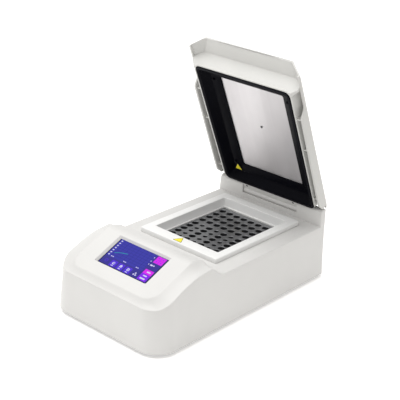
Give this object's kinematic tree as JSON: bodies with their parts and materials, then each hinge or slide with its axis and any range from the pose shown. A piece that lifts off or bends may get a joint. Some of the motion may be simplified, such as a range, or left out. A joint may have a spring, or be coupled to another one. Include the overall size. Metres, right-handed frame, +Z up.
{
  "type": "dry block heater",
  "caption": "Bench-top dry block heater with a touch screen, a block of tube wells and a hinged heated lid standing open.",
  "frame": {"origin": "on the surface under the feet, at the middle of the whole object's box with its lid open", "axes": "+X to the right seen from the front, +Y from the screen at the front to the hinge at the back, +Z up"},
  "size_m": [0.213, 0.3858, 0.3571],
  "materials": {
    "white_plastic": "fine moulded grain",
    "grey_plastic": "fine moulded grain",
    "black_plastic": "satin",
    "black_gloss": "semi-gloss",
    "dark_plastic": "satin",
    "screen_glass": "smooth cover glass over a dark screen",
    "board_green": "solder mask",
    "wool_board": "pressed ceramic wool board",
    "silicone_orange": "silicone heater mat",
    "black_rubber": "matt",
    "steel": "bright zinc",
    "dark_steel": "blackened",
    "zinc_steel": "zinc plated sheet",
    "bare_aluminium": "brushed",
    "anodised_grey": "hard anodised",
    "brass_post": "plain"
  },
  "bodies": {
    "base": {"base_plate": "zinc_steel", "block_collar": "white_plastic", "block_insulation": "wool_board", "display_board": "board_green", "display_module": "dark_plastic", "fan_frame": "black_plastic", "heater_mat": "silicone_orange", "heater_plate": "bare_aluminium", "heating_block": "anodised_grey", "hinge_pin_left": "steel", "hinge_pin_right": "steel", "housing": "white_plastic", "main_board": "board_green", "mains_inlet": "black_plastic", "power_supply": "zinc_steel", "rear_panel": "grey_plastic", "switch_frame": "black_plastic", "temperature_probe": "steel", "touch_window": "screen_glass", "base_screw_1": "steel", "base_screw_2": "steel", "base_screw_3": "steel", "base_screw_4": "steel", "board_post_1": "brass_post", "board_post_2": "brass_post", "board_post_3": "brass_post", "board_post_4": "brass_post", "foot_1": "black_rubber", "foot_2": "black_rubber", "foot_3": "black_rubber", "foot_4": "black_rubber", "rear_screw_1": "steel", "rear_screw_2": "steel", "rear_screw_3": "steel", "rear_screw_4": "steel"},
    "lid": {"lid_shell": "white_plastic", "lid_liner": "white_plastic", "lid_frame": "black_gloss", "lid_seal": "black_rubber", "lid_plate": "bare_aluminium", "lid_heater_mat": "silicone_orange", "lid_insulation": "wool_board", "lid_probe": "dark_steel", "lid_screw_1": "dark_steel", "lid_screw_2": "dark_steel", "lid_screw_3": "dark_steel", "lid_screw_4": "dark_steel", "hinge_tongue": "white_plastic"},
    "fan": {"fan_rotor": "black_plastic"},
    "rocker": {"switch_rocker": "black_plastic"},
    "fuse_holder": {"fuse_drawer": "black_plastic"}
  },
  "joints": [
    {"name": "lid_hinge", "type": "hinge", "parent": "base", "child": "lid", "pos_m": [0, 0.17611, 0.0987], "axis": [-1, 0, 0], "range_deg": [-66, 4]},
    {"name": "fan_spin", "type": "hinge", "parent": "base", "child": "fan", "pos_m": [0.048, 0.17242, 0.044], "axis": [0, 1, 0], "continuous": true},
    {"name": "power_switch", "type": "hinge", "parent": "base", "child": "rocker", "pos_m": [-0.052, 0.17822, 0.063], "axis": [-1, 0, 0], "range_deg": [0, 18]},
    {"name": "fuse_drawer_slide", "type": "slide", "parent": "base", "child": "fuse_holder", "axis": [0, 1, 0], "range_m": [0, 0.0105]}
  ]
}
